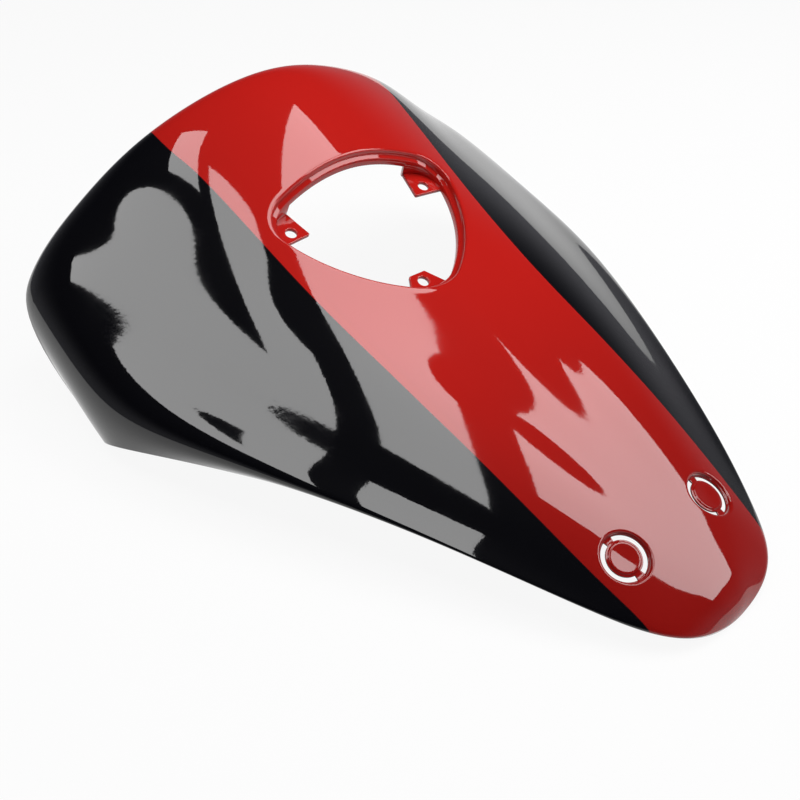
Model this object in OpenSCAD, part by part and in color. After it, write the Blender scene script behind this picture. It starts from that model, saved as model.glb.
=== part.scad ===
// Front fairing panel, moulded in one piece. A smooth skin runs from a rounded nose to a wide
// rear end: a hump down the middle, a valley and a shoulder on each side, then a side wall.
// The skin carries a lamp opening with a stepped collar and three screw tabs, and two round
// knock-out recesses near the nose. X runs across, Y from the nose to the rear, Z up.

/* [Panel] */
// Length from the nose to the top of the hump's rear end
panel_l = 400; // [360:5:440]
// Width of the skin between the two side creases at the rear
panel_w = 400; // [360:5:440]
// Height of the hump's rear end above the ground
panel_h = 170; // [155:1:185]
// Thickness of the moulded wall
wall = 2.6; // [2:0.1:3.2]
// How far the rear edge rolls down
roll_drop = 11; // [8:1:14]
// How far the rear edge reaches back past the crest of its roll
roll_reach = 7; // [5:1:9]

/* [Lamp opening] */
// Distance from the nose to the middle of the opening, along the ground
opening_y = 292; // [286:1:298]
// Lean of the opening's axis towards the nose, in degrees
opening_lean = 20; // [16:1:24]
// Distance between the centres of the two rear corner arcs
opening_w = 92; // [86:1:96]
// Distance from the line through those centres to the centre of the front corner arc
opening_l = 44; // [40:1:50]
// Radius of the rear corner arcs
rear_corner_r = 21; // [19:1:24]
// Radius of the front corner arc
front_corner_r = 32; // [28:1:34]
// Radius of the long bulged sides
side_r = 120; // [115:5:170]
// Radius of the bulged rear side
back_r = 170; // [130:5:220]

/* [Collar] */
// Rounding of the skin's edge into the opening
rim_r = 1.6; // [1:0.1:2.2]
// Depth of the short wall above the ledge
step_depth = 4; // [3:0.1:5]
// Width of the ledge
ledge_w = 3; // [2:0.1:4]
// Depth of the collar's inner wall below the skin
collar_depth = 10; // [9:0.5:13]
// Thickness of the collar's walls
collar_wall = 2.2; // [1.8:0.1:2.8]

/* [Screw tabs] */
// Depth of the tabs' lower face below the skin at the opening's middle
tab_depth = 22.5; // [22:0.5:25]
// Thickness of a tab
tab_t = 2.4; // [2:0.1:3]
// Width of a tab at its root
tab_w = 30; // [27:1:33]
// How far a rear tab reaches in from the collar's inner wall
tab_reach = 21; // [19:0.5:23]
// How far the front tab reaches in, up to its cut-off tip
front_reach = 17; // [16:0.5:19]
// Width of the front tab's cut-off tip
front_tip_w = 12; // [10:0.5:14]
// Diameter of the screw holes
screw_d = 7; // [5:0.1:7.4]
// Distance from the collar's inner wall to the centre of a rear tab's hole
screw_in = 9.5; // [8.5:0.1:10.5]
// Distance from the collar's inner wall to the centre of the front tab's hole
front_screw_in = 10.5; // [9.5:0.1:11]

/* [Knock-out recesses] */
// Distance of a recess from the middle of the panel
recess_x = 35.5; // [32:0.5:38]
// Distance of the recesses from the nose
recess_y = 49; // [45:0.5:56]
// Radius of a recess's floor
recess_r = 12.9; // [12.8:0.1:14]
// Rounding of the skin's edge into a recess
mouth_r = 2; // [1.5:0.1:2.5]
// Depth of a recess's floor below the skin
recess_depth = 3; // [2:0.1:4]
// Radius of the ring of slots, to the middle of a slot
slot_r = 11; // [10.5:0.1:11.1]
// Width of the slots
slot_w = 2.6; // [2.2:0.1:2.8]
// Width of the webs between the two slots of a ring
web_w = 4.6; // [3:0.1:7]

/* [Hidden] */
// Half the width of the skin, for the shares below
half_w = panel_w / 2;
// Sections across the panel, from the nose to the rear. Each row holds seven guide points, from the
// crown over the hump, its flank, the valley, the shoulder and the crease to the edge. A guide
// point is [across, back, up], in percent of the half width, the length and the height.
sections = [
    [[0, 0, 9], [5, 0, 9], [11, 0, 7], [20, 0, 6], [23, 0, 6], [17, 0, 3], [15, 0, 0]],
    [[0, 9, 17.5], [7, 9, 17.5], [14, 9, 17.5], [22, 9, 14.5], [30, 9, 11], [34, 9, 11.5], [31, 9, 9]],
    [[0, 30, 30], [10, 30, 30], [20, 30, 32], [35, 30, 30], [51, 30, 19.5], [56, 30, 21], [48, 30, 17.5]],
    [[0, 54, 48], [14, 54, 45], [29, 54, 45], [48, 54, 43.5], [72, 54, 26], [82, 54, 25], [76, 55, 17.5]],
    [[0, 78, 76], [20, 76, 71], [40, 76, 63], [59, 78, 52.5], [82, 77, 34], [100, 75, 25], [98, 75, 9]],
    [[0, 97, 100], [22, 98, 95], [48, 99, 82.5], [67, 101, 63], [89, 98, 47.5], [96, 95, 30], [90, 78, 0]]
];
// Height of the nose point, in percent of the height
nose_up = 1;
rows = len(sections) + 2;
mid = len(sections[0]) - 1;
cols = 2 * mid + 1;
function scaled(p, side) = [p[0] * half_w / 100 * side, p[1] * panel_l / 100, p[2] * panel_h / 100];
// The last row of guides hangs below the rear section and rolls its edge over
function roll_share(k) = k < mid - 1 ? 1 : k < mid ? 0.5 : 0;
function guide(i, k, side) =
    i == 0 ? scaled([0, 0, nose_up], side)
    : i < rows - 1 ? scaled(sections[i - 1][k], side)
    : scaled(sections[rows - 3][k], side) + roll_share(k) * [0, roll_reach, -roll_drop];
net = [for (i = [0:rows - 1]) [for (j = [0:cols - 1]) guide(i, abs(j - mid), j < mid ? -1 : 1)]];

// Cubic blending weights of n guides at t from 0 to 1: the first guide in reach, then four weights
function knot(n, i) = max(0, min(n - 3, i - 3));
function weights(n, t) =
    let (v = t * (n - 3), k = min(floor(v), n - 4), s = k + 3,
        l1 = v - knot(n, s), l2 = v - knot(n, s - 1), l3 = v - knot(n, s - 2),
        r1 = knot(n, s + 1) - v, r2 = knot(n, s + 2) - v, r3 = knot(n, s + 3) - v,
        a0 = r1 / (r1 + l1), a1 = l1 / (r1 + l1),
        b0 = a0 * r1 / (r1 + l2), b2 = a1 * l1 / (r2 + l1), b1 = 1 - b0 - b2,
        c0 = b0 * r1 / (r1 + l3), c3 = b2 * l1 / (r3 + l1),
        c1 = b0 * l3 / (r1 + l3) + b1 * r2 / (r2 + l2))
    [k, c0, c1, 1 - c0 - c1 - c3, c3];
function blend(w, p) = w[1] * p[w[0]] + w[2] * p[w[0] + 1] + w[3] * p[w[0] + 2] + w[4] * p[w[0] + 3];
// The skin: t runs from the nose to the rear edge, u from the left edge to the right one
function skin(t, u) =
    let (wt = weights(rows, t), wu = weights(cols, u))
    blend(wt, [for (i = [0:rows - 1]) i < wt[0] || i > wt[0] + 3 ? [0, 0, 0] : blend(wu, net[i])]);
function unit(v) = v / norm(v);
grain = 0.003;
function skin_normal(t, u) =
    let (s = max(t, 2 * grain), v = max(grain, min(1 - grain, u)),
        along = skin(min(1, s + grain), v) - skin(s - grain, v),
        across = skin(s, v + grain) - skin(s, v - grain))
    unit(cross(across, along));

// The outline of the opening, in its own plane: three corner arcs and three bulged sides.
// Angles are counted from the rear, towards the right.
front_c = [0, -opening_l];
rear_c = [opening_w / 2, 0];
// Centre of the arc of radius big that touches the corner arcs of radii ra and rb from outside
function side_centre(a, ra, b, rb, big) =
    let (da = big - ra, db = big - rb, d = norm(b - a), e = (da * da - db * db + d * d) / (2 * d),
        h = sqrt(da * da - e * e), q = (b - a) / d)
    a + q * e + [-q[1], q[0]] * h;
right_c = side_centre(front_c, front_corner_r, rear_c, rear_corner_r, side_r);
back_c = side_centre(rear_c, rear_corner_r, [-rear_c[0], 0], rear_corner_r, back_r);
function turn(p) = atan2(p[0], p[1]);
front_turn = turn(front_c - right_c);
side_turn = turn(rear_c - right_c);
back_turn = turn(rear_c - back_c);
// A point on an arc, and the outward direction there
function arc_pt(c, r, a) = [c + r * [sin(a), cos(a)], [sin(a), cos(a)]];
function steps(a, b, n, first) = [for (i = [first:n]) a + (b - a) * i / n];
front_n = 6;
side_n = 18;
corner_n = 12;
back_n = 12;
// Right half of the outline, from the front to the rear: [point, outward direction]
outline = concat(
    [for (a = steps(180, front_turn, front_n, 0)) arc_pt(front_c, front_corner_r, a)],
    [for (a = steps(front_turn, side_turn, side_n, 1)) arc_pt(right_c, side_r, a)],
    [for (a = steps(side_turn, back_turn, corner_n, 1)) arc_pt(rear_c, rear_corner_r, a)],
    [for (a = steps(back_turn, 0, back_n, 1)) arc_pt(back_c, back_r, a)]);
half_n = len(outline) - 1;
loop_n = 2 * half_n;
// The whole outline, from the rear over the left side and the front to the right side
function flipped(p) = [-p[0], p[1]];
outline_loop = concat([for (i = [half_n:-1:1]) [for (p = outline[i]) flipped(p)]], outline);

// Rounds of the searches below
tries = 6;
// The opening's plane: its middle on the crown, its Y direction and its axis
function crown_at(y, t, n) =
    n == 0 ? t : crown_at(y, t - 2 * grain * (skin(t, 0.5)[1] - y)
        / (skin(t + grain, 0.5)[1] - skin(t - grain, 0.5)[1]), n - 1);
opening_t = crown_at(opening_y, opening_y / panel_l, tries);
opening_c = skin(opening_t, 0.5);
plane_y = [0, cos(opening_lean), sin(opening_lean)];
plane_z = [0, -sin(opening_lean), cos(opening_lean)];
function in_plane(p) = [p[0], (p - opening_c) * plane_y];
// The place [t, u] on the skin that lies over point p of the opening's plane
function seat(p, tu, n) =
    n == 0 ? tu
    : let (f = in_plane(skin(tu[0], tu[1])) - p,
        ft = (in_plane(skin(tu[0] + grain, tu[1])) - p - f) / grain,
        fu = (in_plane(skin(tu[0], tu[1] + grain)) - p - f) / grain,
        d = ft[0] * fu[1] - ft[1] * fu[0])
    seat(p, tu - [f[0] * fu[1] - f[1] * fu[0], ft[0] * f[1] - ft[1] * f[0]] / d, n - 1);
rim = [for (o = outline)
    seat(o[0], [opening_t + o[0][1] / panel_l, 0.5 + o[0][0] / panel_w / 2], tries)];

// A flat map of the skin with a round nose, so that lines from the rim to the edge run evenly
function to_map(tu) = [(tu[1] - 0.5) * sqrt(tu[0]), tu[0]];
function from_map(p) = [p[1], p[1] <= 0 ? 0.5 : max(0, min(1, 0.5 + p[0] / sqrt(p[1])))];
// How the points close up towards the nose
nose_close = 1.5;
edge_n = front_n + side_n + corner_n / 2;
edge_map = [for (i = [0:half_n])
    let (s = min(i / edge_n, 1), b = pow(s, nose_close))
    [0.5 * sqrt(b) * (i <= edge_n ? 1 : (half_n - i) / (half_n - edge_n)), b]];
// Right half of the ring at share r of the way from the rim to the edge
edge_close = 1.5;
function half_ring(r) = [for (i = [0:half_n]) from_map(to_map(rim[i]) * (1 - r) + edge_map[i] * r)];
function closing(m, n) = 1 - pow(1 - m / n, edge_close);
function outer_ring(r) = [for (q = half_ring(r)) skin(q[0], q[1])];
function inner_ring(r) = [for (q = half_ring(r)) skin(q[0], q[1]) - wall * skin_normal(q[0], q[1])];
// The three corners of the collar's inner wall, with their tabs: [arc centre, wall radius, direction
// of the tab, direction of its root's middle, its reach, width of its tip, how far in its hole is]
bore_inset = rim_r + ledge_w;
tab_turn = turn(rear_c + [0, opening_l / 2]);
root_turn = tab_turn - 15;
corners = [
    [front_c, front_corner_r - bore_inset, 180, 180, front_reach, front_tip_w, front_screw_in],
    [rear_c, rear_corner_r - bore_inset, tab_turn, root_turn, tab_reach, 0, screw_in],
    [[-rear_c[0], rear_c[1]], rear_corner_r - bore_inset, -tab_turn, -root_turn, tab_reach, 0, screw_in]];
function towards(a) = [sin(a), cos(a)];
// Where the collar's inner wall carries a tab: o is a point of the outline, with its direction
function wall_point(o) = o[0] - bore_inset * o[1];
function carries(c, o) = norm(wall_point(o) - c[0] - c[1] * towards(c[3])) < tab_w / 2;
function carried(o) = len([for (c = corners) if (carries(c, o)) c]) > 0;
rim_points = outer_ring(0);
function height_in_plane(p) = (p - opening_c) * plane_z;
// Depth of the collar's lower edge at point i of the outline
function foot(i) = carried(outline[i]) ? tab_depth + height_in_plane(rim_points[i]) : collar_depth;
// A ring of the collar, inset from the rim and down from the skin
function collar_point(i, inset, down) =
    let (o = outline[i][1]) rim_points[i] - inset * ([o[0], 0, 0] + o[1] * plane_y) - down * plane_z;
function collar_ring(inset, down) = [for (i = [0:half_n]) collar_point(i, inset, down)];
function foot_ring(inset) = [for (i = [0:half_n]) collar_point(i, inset, foot(i))];
function whole(ring) = concat(ring, [for (i = [half_n - 1:-1:1]) [-ring[i][0], ring[i][1], ring[i][2]]]);

outer_n = 24;
inner_n = 14;
// Where the inner skin starts, clear of the collar, as a share of the way to the edge
inner_start = 0.03;
ledge_drop = 0.5;
rings = concat(
    [for (a = [60, 30]) collar_ring(rim_r * sin(a), rim_r * (1 - cos(a)))],
    [for (m = [0:outer_n]) outer_ring(closing(m, outer_n))],
    [for (m = [inner_n:-1:0]) inner_ring(inner_start + (1 - inner_start) * closing(m, inner_n))],
    [collar_ring(rim_r - collar_wall, step_depth + collar_wall),
     collar_ring(bore_inset - collar_wall, step_depth + ledge_drop + collar_wall),
     foot_ring(bore_inset - collar_wall),
     foot_ring(bore_inset),
     collar_ring(bore_inset, step_depth + ledge_drop),
     collar_ring(rim_r, step_depth),
     collar_ring(rim_r, rim_r)]);
shell_points = [for (r = rings) each whole(r)];
// The panel stands on its lowest points, in the middle of its own length
shell_y = [for (p = shell_points) p[1]];
shell_z = [for (p = shell_points) p[2]];
stand = [0, -(max(shell_y) + min(shell_y)) / 2, -min(shell_z)];

// The moulded skin with its opening's collar, as one closed net
module shell() {
    ring_n = len(rings);
    faces = [for (j = [0:ring_n - 1]) for (i = [0:loop_n - 1])
        let (a = j * loop_n + i, b = j * loop_n + (i + 1) % loop_n,
            k = (j + 1) % ring_n, c = k * loop_n + (i + 1) % loop_n, d = k * loop_n + i)
        each [[a, b, c], [a, c, d]]];
    polyhedron(shell_points, faces, convexity = 8);
}

// Lays its children on the opening's plane
module on_opening_plane() translate(opening_c) rotate([opening_lean, 0, 0]) children();

// One shelf that fills a corner at the collar's foot, rooted in the collar's wall
tab_sink = 0.3;
module tab(c) {
    root = [for (o = outline_loop) if (carries(c, o)) wall_point(o) + collar_wall / 2 * o[1]];
    tip = c[0] + (c[1] - c[4]) * towards(c[2]);
    tips = c[5] > 0 ? [for (s = [-1, 1]) tip + s * c[5] / 2 * towards(c[2] + 90)] : [tip];
    translate([0, 0, tab_sink - tab_depth]) linear_extrude(tab_t) polygon(concat(root, tips));
}
function screw_at(c) = c[0] + (c[1] - c[6]) * towards(c[2]);
module screw_hole(c) {
    p = screw_at(c);
    translate([p[0], p[1], -tab_depth - tab_t]) cylinder(h = 3 * tab_t, d = screw_d, $fn = 48);
}

// Lays its children on the skin at a recess, with Z along the skin's outward direction
ground_y = [0, 1, 0];
function over_ground(p, tu, n) =
    n == 0 ? tu
    : let (q = skin(tu[0], tu[1]), f = [q[0] - p[0], q[1] - p[1]],
        ft = (skin(tu[0] + grain, tu[1]) - q) / grain, fu = (skin(tu[0], tu[1] + grain) - q) / grain,
        d = ft[0] * fu[1] - ft[1] * fu[0])
    over_ground(p, tu - [f[0] * fu[1] - f[1] * fu[0], ft[0] * f[1] - ft[1] * f[0]] / d, n - 1);
recess_tu = over_ground([recess_x, recess_y], [recess_y / panel_l, 0.5 + recess_x / panel_w], tries);
recess_c = skin(recess_tu[0], recess_tu[1]);
recess_up = skin_normal(recess_tu[0], recess_tu[1]);
recess_side = unit(cross(ground_y, recess_up));
recess_back = cross(recess_up, recess_side);
module on_recess(side) mirror([side < 0 ? 1 : 0, 0, 0])
    multmatrix([for (i = [0:2]) [recess_side[i], recess_back[i], recess_up[i], recess_c[i]]]) children();

// The cup under the skin, the hollow that is cut from above, and its two slots
cup_wall = 2;
cup_lap = 0.2;
module recess_cup() translate([0, 0, -recess_depth - wall])
    cylinder(h = recess_depth + cup_lap, r = recess_r + cup_wall, $fn = 64);
// The button inside the slots stands above the floor, and the floor's corners are chamfered
button_lift = 0.8;
button_gap = 1;
chamfer = 0.7;
cut_above = 4;
module recess_hollow() {
    button_r = slot_r - slot_w / 2 - button_gap;
    mouth_out = recess_r + mouth_r;
    rotate_extrude($fn = 64) polygon(concat(
        [[0, cut_above], [0, button_lift - recess_depth],
         [button_r - chamfer, button_lift - recess_depth], [button_r, -recess_depth],
         [recess_r - chamfer, -recess_depth], [recess_r, chamfer - recess_depth]],
        [for (a = [30, 60, 90]) [mouth_out - mouth_r * cos(a), mouth_r * (sin(a) - 1)]],
        [[mouth_out, cut_above]]));
}
module recess_slots() {
    half_web = asin(web_w / 2 / slot_r);
    cut_h = recess_depth + 2 * wall;
    for (a = [0, 180])
        rotate([0, 0, a + half_web - 90]) rotate_extrude(angle = 180 - 2 * half_web, $fn = 64)
            translate([slot_r - slot_w / 2, -cut_h]) square([slot_w, cut_h]);
}

module front_panel() color("firebrick") translate(stand) difference() {
    union() {
        shell();
        on_opening_plane() for (c = corners) tab(c);
        for (side = [-1, 1]) on_recess(side) recess_cup();
    }
    on_opening_plane() for (c = corners) screw_hole(c);
    for (side = [-1, 1]) on_recess(side) {
        recess_hollow();
        recess_slots();
    }
}
front_panel();
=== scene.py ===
"""Looks of the front fairing panel: one moulded, painted shell on a white studio floor."""
import math

import bpy
import numpy as np
from mathutils import Matrix, Vector
from mathutils.geometry import delaunay_2d_cdt


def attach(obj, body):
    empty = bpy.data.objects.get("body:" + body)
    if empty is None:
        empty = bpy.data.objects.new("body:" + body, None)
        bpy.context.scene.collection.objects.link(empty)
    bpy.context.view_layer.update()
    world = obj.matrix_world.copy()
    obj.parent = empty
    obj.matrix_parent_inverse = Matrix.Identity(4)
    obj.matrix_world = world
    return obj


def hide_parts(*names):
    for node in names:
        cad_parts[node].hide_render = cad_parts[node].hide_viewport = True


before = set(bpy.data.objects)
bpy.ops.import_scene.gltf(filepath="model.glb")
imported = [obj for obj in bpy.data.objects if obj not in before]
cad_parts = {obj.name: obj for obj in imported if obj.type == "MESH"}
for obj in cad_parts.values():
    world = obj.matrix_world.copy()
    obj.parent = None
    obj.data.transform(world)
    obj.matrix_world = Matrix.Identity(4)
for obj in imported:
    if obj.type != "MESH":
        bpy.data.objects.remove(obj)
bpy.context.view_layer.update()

# Sizes of the panel in millimetres, as in the part's source
PANEL_L = 400
PANEL_W = 400
PANEL_H = 170
WALL = 2.6
ROLL_DROP = 11
ROLL_REACH = 7
OPENING_Y = 292
OPENING_LEAN = math.radians(20)
OPENING_W = 92
OPENING_L = 44
REAR_CORNER_R = 21
FRONT_CORNER_R = 32
SIDE_R = 120
BACK_R = 170
RIM_R = 1.6
STEP_DEPTH = 4
LEDGE_W = 3
COLLAR_DEPTH = 10
COLLAR_WALL = 2.2
TAB_DEPTH = 22.5
TAB_T = 2.4
TAB_W = 30
TAB_REACH = 21
FRONT_REACH = 17
FRONT_TIP_W = 12
SCREW_D = 7
SCREW_IN = 9.5
FRONT_SCREW_IN = 10.5
RECESS_X = 35.5
RECESS_Y = 49
RECESS_R = 12.9
MOUTH_R = 2
RECESS_DEPTH = 3
SLOT_R = 11
SLOT_W = 2.6
WEB_W = 4.6
CUP_WALL = 2
BUTTON_LIFT = 0.8
BUTTON_GAP = 1
CHAMFER = 0.7
# Thickness under the recesses, less than the part's, so that the slots show the floor through them
FLOOR_T = 1
MM = 0.001

# Sections across the panel, from the nose to the rear: crown, hump, flank, valley, shoulder,
# crease and edge, each as [across, back, up] in percent of the half width, length and height
SECTIONS = [
    [[0, 0, 9], [5, 0, 9], [11, 0, 7], [20, 0, 6], [23, 0, 6], [17, 0, 3], [15, 0, 0]],
    [[0, 9, 17.5], [7, 9, 17.5], [14, 9, 17.5], [22, 9, 14.5], [30, 9, 11], [34, 9, 11.5], [31, 9, 9]],
    [[0, 30, 30], [10, 30, 30], [20, 30, 32], [35, 30, 30], [51, 30, 19.5], [56, 30, 21], [48, 30, 17.5]],
    [[0, 54, 48], [14, 54, 45], [29, 54, 45], [48, 54, 43.5], [72, 54, 26], [82, 54, 25], [76, 55, 17.5]],
    [[0, 78, 76], [20, 76, 71], [40, 76, 63], [59, 78, 52.5], [82, 77, 34], [100, 75, 25], [98, 75, 9]],
    [[0, 97, 100], [22, 98, 95], [48, 99, 82.5], [67, 101, 63], [89, 98, 47.5], [96, 95, 30], [90, 78, 0]],
]
NOSE_UP = 1
ROLL_SHARE = [1, 1, 1, 1, 1, 0.5, 0]
# Step of a slope on the skin, passes of a search on it, and the least share
GRAIN = 0.003
TRIES = 6
TINY = 1e-9


def guide_net():
    """The guide points of the whole skin, row by row, from the left edge to the right one."""
    half = np.array(SECTIONS, float) * [PANEL_W / 200, PANEL_L / 100, PANEL_H / 100]
    nose = np.tile([0, 0, NOSE_UP * PANEL_H / 100], (1, half.shape[1], 1))
    roll = half[-1:] + np.outer(ROLL_SHARE, [0, ROLL_REACH, -ROLL_DROP])
    half = np.concatenate([nose, half, roll])
    return np.concatenate([half[:, :0:-1] * [-1, 1, 1], half], axis=1)


NET = guide_net()


def weights(n, t):
    """First guide in reach and the four cubic weights, of n guides at t from 0 to 1."""
    v = np.clip(t, 0, 1) * (n - 3)
    k = np.minimum(v.astype(int), n - 4)
    knot = lambda i: np.clip(i - 3, 0, n - 3)
    s = k + 3
    l1, l2, l3 = (v - knot(s - i) for i in range(3))
    r1, r2, r3 = (knot(s + i) - v for i in (1, 2, 3))
    a0, a1 = r1 / (r1 + l1), l1 / (r1 + l1)
    b0, b2 = a0 * r1 / (r1 + l2), a1 * l1 / (r2 + l1)
    b1 = 1 - b0 - b2
    c0, c3 = b0 * r1 / (r1 + l3), b2 * l1 / (r3 + l1)
    c1 = b0 * l3 / (r1 + l3) + b1 * r2 / (r2 + l2)
    return k, np.stack([c0, c1, 1 - c0 - c1 - c3, c3], -1)


def skin(t, u):
    """Points of the outer skin: t from the nose to the rear edge, u from left to right."""
    kt, wt = weights(NET.shape[0], np.asarray(t, float))
    ku, wu = weights(NET.shape[1], np.asarray(u, float))
    near = NET[kt[..., None, None] + np.arange(4)[:, None], ku[..., None, None] + np.arange(4)]
    return np.einsum("...a,...b,...abc->...c", wt, wu, near)


def unit(v):
    """Directions of unit length."""
    return v / np.linalg.norm(v, axis=-1, keepdims=True)


def skin_normal(t, u):
    """Outward directions of the skin."""
    s = np.maximum(t, 2 * GRAIN)
    v = np.clip(u, GRAIN, 1 - GRAIN)
    along = skin(np.minimum(1, s + GRAIN), v) - skin(s - GRAIN, v)
    across = skin(s, v + GRAIN) - skin(s, v - GRAIN)
    return unit(np.cross(across, along))


def seat(goal, t, u, flat):
    """The places on the skin whose flat coordinates are goal."""
    for _ in range(TRIES):
        p = flat(skin(t, u))
        ft = (flat(skin(t + GRAIN, u)) - p) / GRAIN
        fu = (flat(skin(t, u + GRAIN)) - p) / GRAIN
        f = p - goal
        d = ft[..., 0] * fu[..., 1] - ft[..., 1] * fu[..., 0]
        t = t - (f[..., 0] * fu[..., 1] - f[..., 1] * fu[..., 0]) / d
        u = u - (ft[..., 0] * f[..., 1] - ft[..., 1] * f[..., 0]) / d
    return t, u


def side_centre(a, ra, b, rb, big):
    """Centre of the arc of radius big that holds the corner arcs a and b."""
    da, db = big - ra, big - rb
    d = math.dist(a, b)
    e = (da * da - db * db + d * d) / (2 * d)
    q = (np.array(b) - a) / d
    return a + q * e + np.array([-q[1], q[0]]) * math.sqrt(da * da - e * e)


def turn(p):
    """Turn of a direction from the rear to the right."""
    return math.atan2(p[0], p[1])


def arc(centre, r, start, end, n, first=1):
    """Points on an arc and their outward directions, counted from the rear to the right."""
    a = start + (end - start) * np.arange(first, n + 1) / n
    out = np.stack([np.sin(a), np.cos(a)], -1)
    return np.concatenate([centre + r * out, out], -1)


# The outline of the opening in its own plane, right half, from the front to the rear
FRONT_C = np.array([0.0, -OPENING_L])
REAR_C = np.array([OPENING_W / 2, 0.0])
RIGHT_C = side_centre(FRONT_C, FRONT_CORNER_R, REAR_C, REAR_CORNER_R, SIDE_R)
BACK_C = side_centre(REAR_C, REAR_CORNER_R, REAR_C * [-1, 1], REAR_CORNER_R, BACK_R)
FRONT_TURN = turn(FRONT_C - RIGHT_C)
SIDE_TURN = turn(REAR_C - RIGHT_C)
BACK_TURN = turn(REAR_C - BACK_C)
FRONT_N, SIDE_N, CORNER_N, BACK_N = 24, 72, 48, 48
OUTLINE = np.concatenate([
    arc(FRONT_C, FRONT_CORNER_R, math.pi, FRONT_TURN, FRONT_N, 0),
    arc(RIGHT_C, SIDE_R, FRONT_TURN, SIDE_TURN, SIDE_N),
    arc(REAR_C, REAR_CORNER_R, SIDE_TURN, BACK_TURN, CORNER_N),
    arc(BACK_C, BACK_R, BACK_TURN, 0, BACK_N),
])
HALF_N = len(OUTLINE) - 1
LOOP_N = 2 * HALF_N
EDGE_N = FRONT_N + SIDE_N + CORNER_N // 2


def crown_at(y):
    """Share of the way from the nose at which the crown is y back."""
    t = y / PANEL_L
    for _ in range(TRIES):
        slope = (skin(t + GRAIN, 0.5)[1] - skin(t - GRAIN, 0.5)[1]) / (2 * GRAIN)
        t = t - (skin(t, 0.5)[1] - y) / slope
    return t


OPENING_T = crown_at(OPENING_Y)
OPENING_C = skin(OPENING_T, 0.5)
PLANE_X = np.array([1.0, 0, 0])
PLANE_Y = np.array([0, math.cos(OPENING_LEAN), math.sin(OPENING_LEAN)])
PLANE_Z = np.cross(PLANE_X, PLANE_Y)


def in_plane(p):
    """Sideways and backwards places in the opening's plane."""
    return np.stack([p[..., 0], (p - OPENING_C) @ PLANE_Y], -1)


RIM_T, RIM_U = seat(OUTLINE[:, :2], OPENING_T + OUTLINE[:, 1] / PANEL_L,
                    0.5 + OUTLINE[:, 0] / PANEL_W / 2, in_plane)
RIM = skin(RIM_T, RIM_U)
OUTWARD = OUTLINE[:, 2:3] * PLANE_X + OUTLINE[:, 3:4] * PLANE_Y

# A flat map of the skin with a round nose, as in the part's source
NOSE_CLOSE = 1.5
EDGE_CLOSE = 1.5


def edge_map():
    """Places of the panel's edge on the flat map, right half, from the nose to the rear."""
    i = np.arange(HALF_N + 1)
    b = np.minimum(i / EDGE_N, 1) ** NOSE_CLOSE
    across = np.where(i <= EDGE_N, 1, (HALF_N - i) / (HALF_N - EDGE_N))
    return np.stack([0.5 * np.sqrt(b) * across, b], -1)


EDGE_MAP = edge_map()
RIM_MAP = np.stack([(RIM_U - 0.5) * np.sqrt(RIM_T), RIM_T], -1)


def ring_places(r):
    """The places on the skin of the ring at share r of the way from the rim to the edge."""
    p = RIM_MAP * (1 - r) + EDGE_MAP * r
    t = p[:, 1]
    return t, np.clip(0.5 + p[:, 0] / np.sqrt(np.maximum(t, TINY)), 0, 1)


def skin_ring(r, depth=0.0):
    """The ring at share r, on the skin or at a depth below it."""
    t, u = ring_places(r)
    return skin(t, u) - depth * skin_normal(t, u)


def closing(m, n):
    """Share of the way to the edge at step m of n, with the steps closing up there."""
    return 1 - (1 - m / n) ** EDGE_CLOSE


BORE_INSET = RIM_R + LEDGE_W


def towards(a):
    """Direction at a turn from the rear to the right."""
    return np.array([math.sin(a), math.cos(a)])


class Corner:
    """A corner of the collar's inner wall with its tab: where the root's middle, tip and hole are."""

    def __init__(self, centre, radius, way, root_way, reach, tip_w, screw_in):
        self.root = centre + radius * towards(root_way)
        self.tip = centre + (radius - reach) * towards(way)
        self.tip_side = tip_w / 2 * towards(way + math.pi / 2)
        self.hole = centre + (radius - screw_in) * towards(way)

    def carries(self, outline):
        """Whether each point of an outline, given with its direction, carries the tab."""
        wall = outline[:, :2] - BORE_INSET * outline[:, 2:]
        return np.linalg.norm(wall - self.root, axis=1) < TAB_W / 2


REAR_R = REAR_CORNER_R - BORE_INSET
# How far the rear tabs' roots are turned back along the wall
ROOT_LAG = math.radians(15)
TAB_TURN = turn(REAR_C + [0, OPENING_L / 2])
ROOT_TURN = TAB_TURN - ROOT_LAG
CORNERS = {
    "front": Corner(FRONT_C, FRONT_CORNER_R - BORE_INSET, math.pi, math.pi,
                    FRONT_REACH, FRONT_TIP_W, FRONT_SCREW_IN),
    "right": Corner(REAR_C, REAR_R, TAB_TURN, ROOT_TURN, TAB_REACH, 0, SCREW_IN),
    "left": Corner(REAR_C * [-1, 1], REAR_R, -TAB_TURN, -ROOT_TURN, TAB_REACH, 0, SCREW_IN),
}
# Depth of the collar's lower edge below each rim point: deep only where it carries a tab
CARRIED = np.any([c.carries(OUTLINE) for c in CORNERS.values()], axis=0)
FOOT = np.where(CARRIED, TAB_DEPTH + (RIM - OPENING_C) @ PLANE_Z, COLLAR_DEPTH)


def collar_ring(inset, down):
    """The rim's outline moved inwards and down from the rim."""
    return RIM - inset * OUTWARD - np.reshape(down, (-1, 1)) * PLANE_Z


ROLL_N = 6
ROLL_PULL = 0.55


def rim_roll():
    """Rings that roll from the skin's edge into the opening, without the first one."""
    normal = skin_normal(RIM_T, RIM_U)
    inward = unit(-OUTWARD + np.sum(OUTWARD * normal, -1, keepdims=True) * normal)
    low = collar_ring(RIM_R, RIM_R)
    pull = ROLL_PULL * RIM_R
    a, b = RIM + pull * inward, low + pull * PLANE_Z
    return [(1 - s) ** 3 * RIM + 3 * s * (1 - s) ** 2 * a + 3 * s * s * (1 - s) * b + s ** 3 * low
            for s in np.arange(1, ROLL_N + 1) / ROLL_N]


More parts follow.
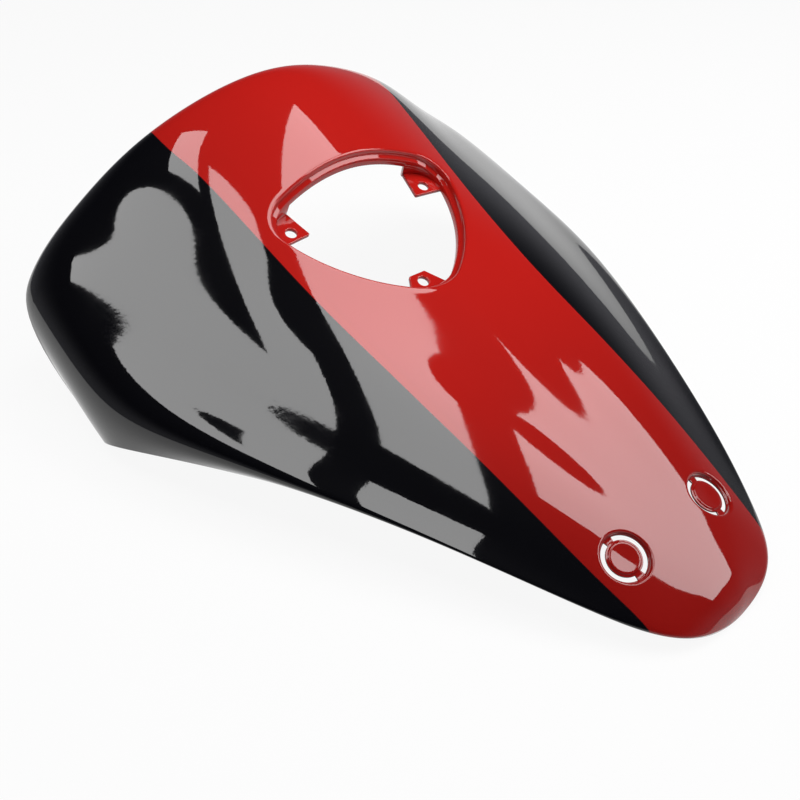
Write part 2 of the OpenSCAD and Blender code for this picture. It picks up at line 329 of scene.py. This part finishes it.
# Steps of the outer and inner faces, where the inner one starts, the ledge's fall and the edges' softness
OUTER_N = 96
INNER_N = 28
INNER_START = 0.03
LEDGE_DROP = 0.5
ROUND = 0.4


def shell_rings():
    """All rings of the shell, from the rim over the outer skin and back under it."""
    edge = 1 - ROUND / PANEL_W
    outer = [skin_ring(closing(m, OUTER_N) * edge) for m in range(OUTER_N + 1)]
    lip = [skin_ring(1, ROUND), skin_ring(1, WALL - ROUND)]
    inner = [skin_ring(INNER_START + (edge - INNER_START) * closing(m, INNER_N), WALL)
             for m in range(INNER_N, -1, -1)]
    back = BORE_INSET - COLLAR_WALL
    half_way = (FOOT + COLLAR_DEPTH) / 2 - 2 * ROUND
    collar = [
        collar_ring(RIM_R - COLLAR_WALL, STEP_DEPTH + COLLAR_WALL),
        collar_ring(back, STEP_DEPTH + LEDGE_DROP + COLLAR_WALL),
        collar_ring(back, half_way),
        collar_ring(back, FOOT - ROUND),
        collar_ring(back + ROUND, FOOT),
        collar_ring(BORE_INSET - ROUND, FOOT),
        collar_ring(BORE_INSET, FOOT - ROUND),
        collar_ring(BORE_INSET, half_way),
        collar_ring(BORE_INSET, STEP_DEPTH + LEDGE_DROP + ROUND),
        collar_ring(BORE_INSET - ROUND, STEP_DEPTH + LEDGE_DROP),
        collar_ring(RIM_R + ROUND, STEP_DEPTH),
        collar_ring(RIM_R, STEP_DEPTH - ROUND),
    ]
    return outer + lip + inner + collar + rim_roll()[::-1]


def whole(ring):
    """A right half ring with its mirror image."""
    return np.concatenate([ring, ring[-2:0:-1] * [-1, 1, 1]])


def shell_mesh():
    """Points and faces of the closed shell."""
    rings = shell_rings()
    points = np.concatenate([whole(r) for r in rings])
    j, i = np.meshgrid(np.arange(len(rings)), np.arange(LOOP_N), indexing="ij")
    k, n = (j + 1) % len(rings), (i + 1) % LOOP_N
    a, b, c, d = (x * LOOP_N + y for x, y in ((j, i), (j, n), (k, n), (k, i)))
    faces = np.stack([a, d, c, b], -1).reshape(-1, 4)
    return points, faces


# Reach of a recess's own net and of the hole cut for it, and the steps round its slots and webs
PATCH_R = 20
CUT_R = 21.5
SLOT_STEPS = 40
WEB_STEPS = 8
HALF_WEB = math.asin(WEB_W / 2 / SLOT_R)
SLOT_OUT = SLOT_R + SLOT_W / 2
SLOT_IN = SLOT_R - SLOT_W / 2
BUTTON_R = SLOT_IN - BUTTON_GAP
HUB_R = 0.7
# Radii of the rings on the skin round a recess, and on its underside
TOP_REACH = (PATCH_R, 18.5, 17.2, 16, RECESS_R + MOUTH_R + 0.3)
UNDER_REACH = (PATCH_R, 18.5, 16.5, RECESS_R + CUP_WALL)
# Turns of the rings down the mouth's rounded edge, and how much of the skin's curve is lost on the way
MOUTH_TURNS = np.radians([0, 15, 30, 45, 60, 75, 90])
MOUTH_FADE = 0.5
# The button's edge as [in from its rim, below its top], and its dish as [radius, below its top]
BUTTON_EDGE = [(0.3, 0.2), (0.7, 0.03), (1.2, 0)]
BUTTON_DISH = [(6, 0.1), (4, 0.25), (2, 0.35), (HUB_R, 0.38)]
# Radii of the flat rings inside the slots, on the underside
UNDER_HUB = (SLOT_IN - 0.3, 5, HUB_R)
# Softness of the recess's edges
SLOPE = 0.2
NICK = 0.1
CORNER = 0.15


class Place:
    """A recess's own frame: its centre on the skin, and its sideways, backwards and outward directions."""

    def __init__(self):
        ground = lambda p: p[..., :2]
        self.t, self.u = seat(np.array([RECESS_X, RECESS_Y]), np.float64(RECESS_Y / PANEL_L),
                              np.float64(0.5 + RECESS_X / PANEL_W), ground)
        self.up = skin_normal(self.t, self.u)
        self.centre = skin(self.t, self.u)
        self.side = unit(np.cross([0, 1, 0], self.up))
        self.back = np.cross(self.up, self.side)

    def flat(self, p):
        return np.stack([(p - self.centre) @ self.side, (p - self.centre) @ self.back], -1)

    def height(self, p):
        return (p - self.centre) @ self.up

    def at(self, r, height):
        """A ring of radius r at a height above the centre."""
        flat = r * self.way()
        return (self.centre + flat[:, :1] * self.side + flat[:, 1:] * self.back
                + np.reshape(height, (-1, 1)) * self.up)

    def on_skin(self, r, depth=0.0):
        """A ring of radius r on the skin, or at a depth below it."""
        n = len(self.way())
        t, u = seat(r * self.way(), np.full(n, self.t), np.full(n, self.u), self.flat)
        return skin(t, u) - depth * skin_normal(t, u)

    @staticmethod
    def way():
        """Directions round a recess, with steps that meet the ends of the slots."""
        end = math.pi / 2 - HALF_WEB
        slot = np.linspace(-end, end, SLOT_STEPS + 1)[:-1]
        web = np.linspace(end, end + 2 * HALF_WEB, WEB_STEPS + 1)[:-1]
        a = np.concatenate([slot, web, slot + math.pi, web + math.pi])
        return np.stack([np.cos(a), np.sin(a)], -1)


def recess_top(place):
    """Rings of the recess's upper face, from the skin to the button's middle, and the slots' first one."""
    floor = -RECESS_DEPTH
    lift = floor + BUTTON_LIFT
    mouth = RECESS_R + MOUTH_R
    lip = place.height(place.on_skin(mouth))
    rings = [place.on_skin(r) for r in TOP_REACH]
    for s in MOUTH_TURNS:
        fade = 1 - MOUTH_FADE * math.sin(s)
        rings.append(place.at(mouth - MOUTH_R * math.sin(s), lip * fade - MOUTH_R * (1 - math.cos(s))))
    profile = [(RECESS_R, floor + CHAMFER), (RECESS_R - CORNER, floor + CORNER), (SLOT_OUT + SLOPE, floor),
               (SLOT_OUT, floor - NICK), (SLOT_IN, floor - NICK), (SLOT_IN - SLOPE, floor),
               (BUTTON_R + SLOPE, floor), (BUTTON_R, floor + NICK)]
    profile += [(BUTTON_R - into, lift - below) for into, below in BUTTON_EDGE]
    profile += [(r, lift - below) for r, below in BUTTON_DISH]
    slot = len(rings) + 3
    return rings + [place.at(r, h) for r, h in profile], slot


def recess_bottom(place):
    """Rings of the cup's lower face, from the skin's underside inwards, and the slots' first one."""
    under = -RECESS_DEPTH - FLOOR_T
    cup = RECESS_R + CUP_WALL
    rings = [place.on_skin(r, WALL) for r in UNDER_REACH]
    profile = [(cup, under + ROUND), (cup - ROUND, under)]
    profile += [(r, under) for r in (SLOT_OUT, SLOT_IN, *UNDER_HUB)]
    slot = len(rings) + 2
    return rings + [place.at(r, h) for r, h in profile], slot


def recess_faces(top, top_slot, bottom, bottom_slot, first):
    """Faces of a recess whose points start at first: both faces and the walls of its slots."""
    n = len(top[0])
    i = np.arange(n)
    k = (i + 1) % n
    in_slot = i % (n // 2) < SLOT_STEPS
    everywhere = i >= 0
    faces = []
    ring = lambda j: first + j * n
    low = lambda j: first + (len(top) + j) * n
    for j in range(len(top) - 1):
        use = ~in_slot if j == top_slot else everywhere
        faces += np.stack([ring(j) + i, ring(j) + k, ring(j + 1) + k, ring(j + 1) + i], -1)[use].tolist()
    for j in range(len(bottom) - 1):
        use = ~in_slot if j == bottom_slot else everywhere
        faces += np.stack([low(j) + i, low(j + 1) + i, low(j + 1) + k, low(j) + k], -1)[use].tolist()
    faces.append((ring(len(top) - 1) + i).tolist())
    faces.append((low(len(bottom) - 1) + i[::-1]).tolist())
    a, b = ring(top_slot), ring(top_slot + 1)
    c, d = low(bottom_slot), low(bottom_slot + 1)
    faces += np.stack([a + i, a + k, c + k, c + i], -1)[in_slot].tolist()
    faces += np.stack([b + i, d + i, d + k, b + k], -1)[in_slot].tolist()
    for start in (0, n // 2):
        end = start + SLOT_STEPS
        faces.append([a + start, c + start, d + start, b + start])
        faces.append([a + end, b + end, d + end, c + end])
    return faces


def cut_hole(points, faces, place):
    """Takes the faces near the recess out, and gives the rest and the edge of the hole in order."""
    flat = np.linalg.norm(place.flat(points), axis=1)
    near = (flat < CUT_R) & (np.abs(place.height(points)) < CUT_R)
    touched = near[np.array(faces)].any(1)
    kept = [f for f, cut in zip(faces, touched) if not cut]
    pairs = {(f[c - 1], f[c]) for f, cut in zip(faces, touched) if cut for c in range(len(f))}
    follow = {a: b for a, b in pairs if (b, a) not in pairs}
    loop = [min(follow)]
    while follow[loop[-1]] != loop[0]:
        loop.append(follow[loop[-1]])
    return kept, loop


def inside(p, loop):
    """Whether point p lies inside the closed loop."""
    q = np.roll(loop, -1, 0)
    crosses = (loop[:, 1] > p[1]) != (q[:, 1] > p[1])
    rise = np.where(crosses, q[:, 1] - loop[:, 1], 1)
    x = loop[:, 0] + (p[1] - loop[:, 1]) / rise * (q[:, 0] - loop[:, 0])
    return np.count_nonzero(crosses & (x > p[0])) % 2 == 1


SAME_POINT = 1e-6


def fill_between(points, loop, ring, place):
    """Triangles between the hole's edge and the patch's outer ring."""
    both = np.concatenate([loop, ring])
    flat = place.flat(points[both])
    n, m = len(loop), len(ring)
    edges = [(e, (e + 1) % n) for e in range(n)] + [(n + e, n + (e + 1) % m) for e in range(m)]
    found = delaunay_2d_cdt([Vector(p) for p in flat], edges, [], 0, SAME_POINT)
    index = np.array([o[0] for o in found[3]])
    triangles = [index[list(f)] for f in found[2]]
    return [both[c].tolist() for c in triangles
            if not np.all(c >= n) and inside(flat[c].mean(0), flat[:n])]


def add_recess(points, outer, inner, other):
    """The shell with a recess set into its right side. The faces come in three lists."""
    place = Place()
    top, top_slot = recess_top(place)
    bottom, bottom_slot = recess_bottom(place)
    first, n = len(points), len(top[0])
    points = np.concatenate([points] + top + bottom)
    other = other + recess_faces(top, top_slot, bottom, bottom_slot, first)
    filled = []
    for faces, ring, order in ((outer, first, 1), (inner, first + len(top) * n, -1)):
        kept, loop = cut_hole(points, faces, place)
        filled.append(kept)
        other += [f[::order] for f in fill_between(points, loop, ring + np.arange(n), place)]
    return points, *filled, other


def mirrored(points, *lists):
    """The points and lists of faces mirrored from side to side."""
    return points * [-1, 1, 1], *([f[::-1] for f in faces] for faces in lists)


def inside_mark(points):
    """1 at the points of the shell's underside, and 0 elsewhere."""
    mark = np.zeros(len(points))
    # From the lip's lower ring to the collar's first one
    mark[(OUTER_N + 2) * LOOP_N:(OUTER_N + 5 + INNER_N) * LOOP_N] = 1
    place = Place()
    upper = np.zeros(sum(len(ring) for ring in recess_top(place)[0]))
    lower = np.ones(sum(len(ring) for ring in recess_bottom(place)[0]))
    recess = np.concatenate([upper, lower])
    mark[-2 * len(recess):] = np.tile(recess, 2)
    return mark


def panel_mesh():
    """Points and faces of the closed shell with both recesses."""
    points, faces = shell_mesh()
    faces = faces.tolist()
    ends = np.array([OUTER_N, OUTER_N + 2, OUTER_N + 3 + INNER_N]) * LOOP_N
    outer, lip, inner, rest = (faces[a:b] for a, b in zip([0, *ends], [*ends, len(faces)]))
    parts = points, outer, inner, lip + rest
    for _ in range(2):
        parts = mirrored(*add_recess(*parts))
    return parts[0], parts[1] + parts[2] + parts[3]


POINTS, FACES = panel_mesh()
INSIDE = inside_mark(POINTS)
STAND = np.array([0, -(POINTS[:, 1].max() + POINTS[:, 1].min()) / 2, -POINTS[:, 2].min()])
# Keeps this finer mesh within the box of the coarser solid
FIT = 0.9997


def add_mesh(name, points, faces, material, inside=None):
    """A smooth-shaded piece in the frame, riding on the panel's body."""
    mesh = bpy.data.meshes.new(name)
    mesh.from_pydata(((points + STAND) * FIT * MM).tolist(), [], faces)
    mark = mesh.attributes.new("inside", "FLOAT", "POINT")
    mark.data.foreach_set("value", np.zeros(len(points)) if inside is None else inside)
    mesh.shade_smooth()
    piece = bpy.data.objects.new(name, mesh)
    bpy.context.scene.collection.objects.link(piece)
    mesh.materials.append(material)
    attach(piece, "root")
    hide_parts("front_panel")
    return piece


# How far the tabs lie above the collar's lower edge, their steps round, and the softness of their edges
TAB_SINK = 0.3
TAB_N = 144
TAB_SOFT = 0.3
SMOOTH_TIMES = 2


def tab_edge(corner):
    """Distances from a tab's hole to its edge, at even angles round the hole."""
    loop = np.concatenate([OUTLINE[:0:-1] * [-1, 1, -1, 1], OUTLINE])
    loop = loop[corner.carries(loop)]
    root = loop[:, :2] - (BORE_INSET - COLLAR_WALL / 2) * loop[:, 2:]
    a = np.concatenate([root, [corner.tip - corner.tip_side, corner.tip + corner.tip_side]]) - corner.hole
    side = np.roll(a, -1, 0) - a
    way = np.arange(TAB_N) / TAB_N * 2 * math.pi
    way = np.stack([np.cos(way), np.sin(way)], -1)[:, None]
    cross = way[..., 0] * side[:, 1] - way[..., 1] * side[:, 0]
    cross = np.where(np.abs(cross) < TINY, TINY, cross)
    far = (a[:, 0] * side[:, 1] - a[:, 1] * side[:, 0]) / cross
    share = (a[:, 0] * way[..., 1] - a[:, 1] * way[..., 0]) / cross
    far = np.where((far > 0) & (share >= 0) & (share <= 1), far, np.inf).min(1)
    for _ in range(SMOOTH_TIMES):
        far = (np.roll(far, 1) + 2 * far + np.roll(far, -1)) / 4
    return far, way[:, 0]


def tab_mesh(corner):
    """A screw tab as a closed ring round its hole, with softened edges."""
    edge, way = tab_edge(corner)
    hole = SCREW_D / 2
    soft = TAB_SOFT
    low = TAB_SINK - TAB_DEPTH
    top = low + TAB_T
    # Each ring: its share of the way from the hole to the edge, its shift outwards, and its height
    profile = [(0, 0, low + soft), (0, 0, top - soft), (0, soft, top), (0, 2 * soft, top), (0.5, 0, top),
               (1, -2 * soft, top), (1, -soft, top), (1, 0, top - soft), (1, 0, low + soft),
               (1, -soft, low), (0.5, 0, low), (0, soft, low)]
    rings = []
    for share, extra, z in profile:
        flat = corner.hole + (hole + (edge - hole) * share + extra)[:, None] * way
        rings.append(OPENING_C + flat[:, :1] * PLANE_X + flat[:, 1:] * PLANE_Y + z * PLANE_Z)
    j, i = np.meshgrid(np.arange(len(rings)), np.arange(TAB_N), indexing="ij")
    k, n = (j + 1) % len(rings), (i + 1) % TAB_N
    faces = np.stack([x * TAB_N + y for x, y in ((j, i), (j, n), (k, n), (k, i))], -1)
    return np.concatenate(rings), faces.reshape(-1, 4)[:, ::-1].tolist()


def node(tree, kind, **values):
    """A new shader node with its settings."""
    made = tree.nodes.new("ShaderNode" + kind)
    for name, value in values.items():
        setattr(made, name, value)
    return made


def calc(tree, operation, a, b=None, clamp=False):
    """The output of a sum on two sockets or numbers."""
    made = node(tree, "Math", operation=operation, use_clamp=clamp)
    for value, socket in zip((a, b), made.inputs):
        if isinstance(value, (int, float)):
            socket.default_value = value
        elif value is not None:
            tree.links.new(value, socket)
    return made.outputs[0]


def blend(tree, share, a, b):
    """The colour between two colours or colour sockets."""
    made = node(tree, "Mix", data_type="RGBA")
    tree.links.new(share, made.inputs["Factor"])
    for value, socket in ((a, made.inputs["A"]), (b, made.inputs["B"])):
        if isinstance(value, tuple):
            socket.default_value = (*value, 1)
        else:
            tree.links.new(value, socket)
    return made.outputs["Result"]


def span(tree, value, low, high):
    """How far a value is from low to high, from 0 to 1."""
    made = node(tree, "MapRange", interpolation_type="SMOOTHSTEP")
    tree.links.new(value, made.inputs["Value"])
    made.inputs["From Min"].default_value = low
    made.inputs["From Max"].default_value = high
    return made.outputs["Result"]


RED = (0.55, 0.012, 0.008)
# The red near the nose, darkened as painted shade
SHADED_TIP_RED = (0.3, 0.006, 0.004)
BLACK = (0.0015, 0.0015, 0.0025)
UNDERSIDE = (0.012, 0.012, 0.013)
# The length over which the red is darkened towards the nose as painted shade, in metres
SHADED_TIP_L = 0.25
# Half the stripe's width, in percent of a quarter of the panel's width, at shares of the panel's length
STRIPE = [(0, 48), (0.05, 50), (0.15, 55.5), (0.38, 64), (0.5, 67.5), (0.63, 72), (0.75, 76),
          (0.88, 81), (0.96, 85), (1, 84)]
# Half the width over which the stripe's edge blends, in metres
STRIPE_EDGE = 0.0003


def stripe_mask(tree, x, y):
    """1 on the middle stripe, and 0 on the sides."""
    curve = node(tree, "FloatCurve")
    points = curve.mapping.curves[0].points
    for share, half in STRIPE[1:-1]:
        points.new(share, half / 100)
    points[0].location = (0, STRIPE[0][1] / 100)
    points[len(points) - 1].location = (1, STRIPE[-1][1] / 100)
    curve.mapping.update()
    tree.links.new(calc(tree, "DIVIDE", y, PANEL_L * MM, clamp=True), curve.inputs["Value"])
    half = calc(tree, "MULTIPLY", curve.outputs[0], PANEL_W / 4 * MM)
    over = calc(tree, "SUBTRACT", calc(tree, "ABSOLUTE", x), half)
    return calc(tree, "SUBTRACT", 1, span(tree, over, -STRIPE_EDGE, STRIPE_EDGE))


def noise(tree, place, scale):
    """Even noise of a scale, in waves per metre, over the piece."""
    made = node(tree, "TexNoise")
    made.inputs["Scale"].default_value = scale
    tree.links.new(place, made.inputs["Vector"])
    return made.outputs["Fac"]


# Ripples of the sprayed coat, in waves per metre and metres, and its change of gloss
PEEL_SCALE = 250
PEEL_HEIGHT = 0.000008
GLOSS_SCALE = 25
GLOSS_CHANGE = 0.07


def paint():
    """Red stripe on black under a clear coat, its red darkened towards the nose as painted shade, and bare
    plastic where the mesh is marked as inside.
    """
    material = bpy.data.materials.new("paint")
    material.use_nodes = True
    tree = material.node_tree
    shader = tree.nodes["Principled BSDF"]
    place = node(tree, "TexCoord")
    split = node(tree, "SeparateXYZ")
    tree.links.new(place.outputs["Object"], split.inputs[0])
    y = calc(tree, "SUBTRACT", split.outputs["Y"], STAND[1] * MM)
    mask = stripe_mask(tree, split.outputs["X"], y)
    # The red darkens towards the nose: painted shade
    red = blend(tree, span(tree, y, 0, SHADED_TIP_L), SHADED_TIP_RED, RED)
    coat = blend(tree, mask, BLACK, red)
    mark = node(tree, "Attribute", attribute_name="inside")
    colour = blend(tree, mark.outputs["Fac"], coat, UNDERSIDE)
    tree.links.new(colour, shader.inputs["Base Color"])
    outside = calc(tree, "SUBTRACT", 1, mark.outputs["Fac"])
    tree.links.new(outside, shader.inputs["Coat Weight"])
    shader.inputs["Roughness"].default_value = 0.5
    shader.inputs["Specular IOR Level"].default_value = 0.02
    shader.inputs["Coat IOR"].default_value = 1.57
    gloss = noise(tree, place.outputs["Object"], GLOSS_SCALE)
    tree.links.new(calc(tree, "MULTIPLY", gloss, GLOSS_CHANGE), shader.inputs["Coat Roughness"])
    ripple = node(tree, "Bump")
    ripple.inputs["Distance"].default_value = PEEL_HEIGHT
    tree.links.new(noise(tree, place.outputs["Object"], PEEL_SCALE), ripple.inputs["Height"])
    tree.links.new(ripple.outputs["Normal"], shader.inputs["Coat Normal"])
    return material


PAINT = paint()
add_mesh("painted_shell", POINTS, FACES, PAINT, INSIDE)
for name, corner in CORNERS.items():
    add_mesh("tab_" + name, *tab_mesh(corner), PAINT)

# The photograph's width and its focal length, in pixels
IMAGE_W = 800
FOCAL_PX = 944
# The camera's place from the point on the floor below the nose, in millimetres, and its directions
EYE = np.array([-336.3, -100.3, 376.5])
EYE_RIGHT = np.array([0.7531, -0.656, 0.0506])
EYE_UP = np.array([0.3855, 0.5023, 0.774])


def add_camera():
    """The camera at the photograph's angle."""
    camera = bpy.data.cameras.new("camera")
    camera.lens = FOCAL_PX / IMAGE_W * camera.sensor_width
    camera.clip_start = 0.01
    eye = bpy.data.objects.new("camera", camera)
    bpy.context.scene.collection.objects.link(eye)
    right = unit(EYE_RIGHT)
    back = unit(np.cross(right, EYE_UP))
    turned = Matrix(np.stack([right, np.cross(back, right), back], 1).tolist())
    eye.matrix_world = Matrix.Translation((EYE + STAND) * MM) @ turned.to_4x4()
    bpy.context.scene.camera = eye


add_camera()

# The floor's side in metres, its colour, and how far it is plain white to the camera
FLOOR_SIZE = 12
FLOOR_GREY = 0.9
FLOOR_WHITE = 0.92


def add_floor():
    """A pale floor that keeps the panel's shadow."""
    bpy.ops.mesh.primitive_plane_add(size=FLOOR_SIZE)
    floor = bpy.context.object
    floor.name = "floor"
    material = bpy.data.materials.new("floor")
    material.use_nodes = True
    tree = material.node_tree
    shader = tree.nodes["Principled BSDF"]
    shader.inputs["Base Color"].default_value = (FLOOR_GREY, FLOOR_GREY, FLOOR_GREY, 1)
    shader.inputs["Roughness"].default_value = 0.9
    path = node(tree, "LightPath")
    seen = calc(tree, "ADD", path.outputs["Is Camera Ray"], path.outputs["Is Glossy Ray"])
    seen = calc(tree, "ADD", seen, path.outputs["Is Transmission Ray"], clamp=True)
    mix = node(tree, "MixShader")
    tree.links.new(calc(tree, "MULTIPLY", seen, FLOOR_WHITE), mix.inputs["Fac"])
    tree.links.new(shader.outputs[0], mix.inputs[1])
    tree.links.new(node(tree, "Emission").outputs[0], mix.inputs[2])
    tree.links.new(mix.outputs[0], tree.nodes["Material Output"].inputs["Surface"])
    floor.data.materials.append(material)


add_floor()

# The soft boxes hang level at one height, turned the same way: each with how far it is across and
# along that turn, its width and its length, in metres
LAMP_H = 1.0
LAMP_TURN = math.radians(28)
LAMP_GLOW = 5.0
LAMPS = {
    "rear_lamp": (-0.225, 0.98, 0.12, 0.76),
    "side_lamp": (-0.12, 0.51, 0.32, 0.18),
    "back_lamp": (0.06, 0.76, 0.28, 0.2),
    "middle_lamp": (0.2, 0.16, 0.9, 0.28),
    "front_lamp": (0.52, -0.79, 0.68, 1.3),
}


def add_lamp(name, across, along, width, length):
    """A level soft box, placed from the point on the floor below the nose."""
    lamp = bpy.data.lights.new(name, "AREA")
    lamp.shape = "RECTANGLE"
    lamp.size = width
    lamp.size_y = length
    lamp.energy = LAMP_GLOW * math.pi * width * length
    body = bpy.data.objects.new(name, lamp)
    bpy.context.scene.collection.objects.link(body)
    c, s = math.cos(LAMP_TURN), math.sin(LAMP_TURN)
    place = np.array([across * c - along * s, across * s + along * c, LAMP_H]) + STAND * MM
    body.matrix_world = Matrix.Translation(place) @ Matrix.Rotation(LAMP_TURN, 4, "Z")


for name, box in LAMPS.items():
    add_lamp(name, *box)


HORIZON = (0.2, 0.2, 0.22)
CEILING = (0.015, 0.015, 0.02)
# Heights of a direction at which the horizon's colour ends and the ceiling's begins
HORIZON_END = 0.1
CEILING_START = 0.6


def add_world():
    """A dark ceiling over a paler horizon."""
    world = bpy.data.worlds.new("world")
    bpy.context.scene.world = world
    world.use_nodes = True
    tree = world.node_tree
    place = node(tree, "TexCoord")
    split = node(tree, "SeparateXYZ")
    tree.links.new(place.outputs["Generated"], split.inputs[0])
    sky = blend(tree, span(tree, split.outputs["Z"], HORIZON_END, CEILING_START), HORIZON, CEILING)
    tree.links.new(sky, tree.nodes["Background"].inputs["Color"])


add_world()
bpy.context.scene.view_settings.view_transform = "Standard"
